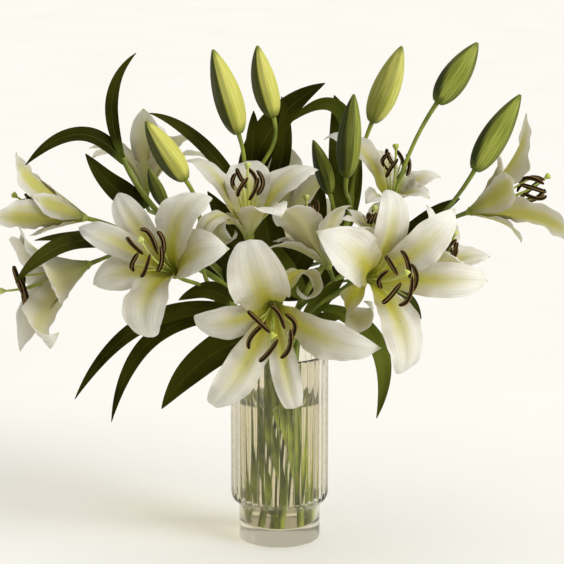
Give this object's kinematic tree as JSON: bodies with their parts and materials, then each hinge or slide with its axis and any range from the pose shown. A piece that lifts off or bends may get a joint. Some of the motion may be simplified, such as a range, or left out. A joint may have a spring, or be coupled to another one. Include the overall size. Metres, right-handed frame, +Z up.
{
  "type": "lilies in a vase",
  "caption": "Cut white lilies with buds and long leaves, standing in water in a ribbed glass vase with a plain thick foot.",
  "frame": {"origin": "centre of the vase's foot, on the surface that it stands on", "axes": "+Z up, -Y towards the front, where the largest blooms face, +X to the right seen from the front"},
  "size_m": [0.5902, 0.3314, 0.5086],
  "materials": {
    "vase_glass": "gloss",
    "water": "gloss",
    "greenery": "satin",
    "petals": "satin",
    "stamens": "matte",
    "buds": "satin"
  },
  "bodies": {
    "root": {"vase": "vase_glass", "water": "water", "stem_front": "greenery", "stem_right": "greenery", "stem_far_right": "greenery", "stem_back_right": "greenery", "stem_middle": "greenery", "stem_back": "greenery", "stem_top": "greenery", "stem_back_left": "greenery", "stem_far_left": "greenery", "stem_left": "greenery", "bloom_front": "petals", "bloom_left": "petals", "bloom_right": "petals", "bloom_top": "petals", "bloom_far_left": "petals", "bloom_opening": "petals", "bloom_back_left": "petals", "bloom_back_right": "petals", "bloom_far_right": "petals", "bloom_low_right": "petals", "bloom_middle": "petals", "bloom_behind": "petals", "bloom_back": "petals", "stamens_front": "stamens", "stamens_left": "stamens", "stamens_right": "stamens", "stamens_top": "stamens", "stamens_far_left": "stamens", "stamens_opening": "stamens", "stamens_back_left": "stamens", "stamens_back_right": "stamens", "stamens_far_right": "stamens", "stamens_low_right": "stamens", "stamens_middle": "stamens", "stamens_behind": "stamens", "stamens_back": "stamens", "bud_1": "buds", "bud_2": "buds", "bud_3": "buds", "bud_4": "buds", "bud_5": "buds", "bud_6": "buds", "bud_7": "buds", "bud_8": "buds", "bud_9": "buds"}
  },
  "joints": []
}
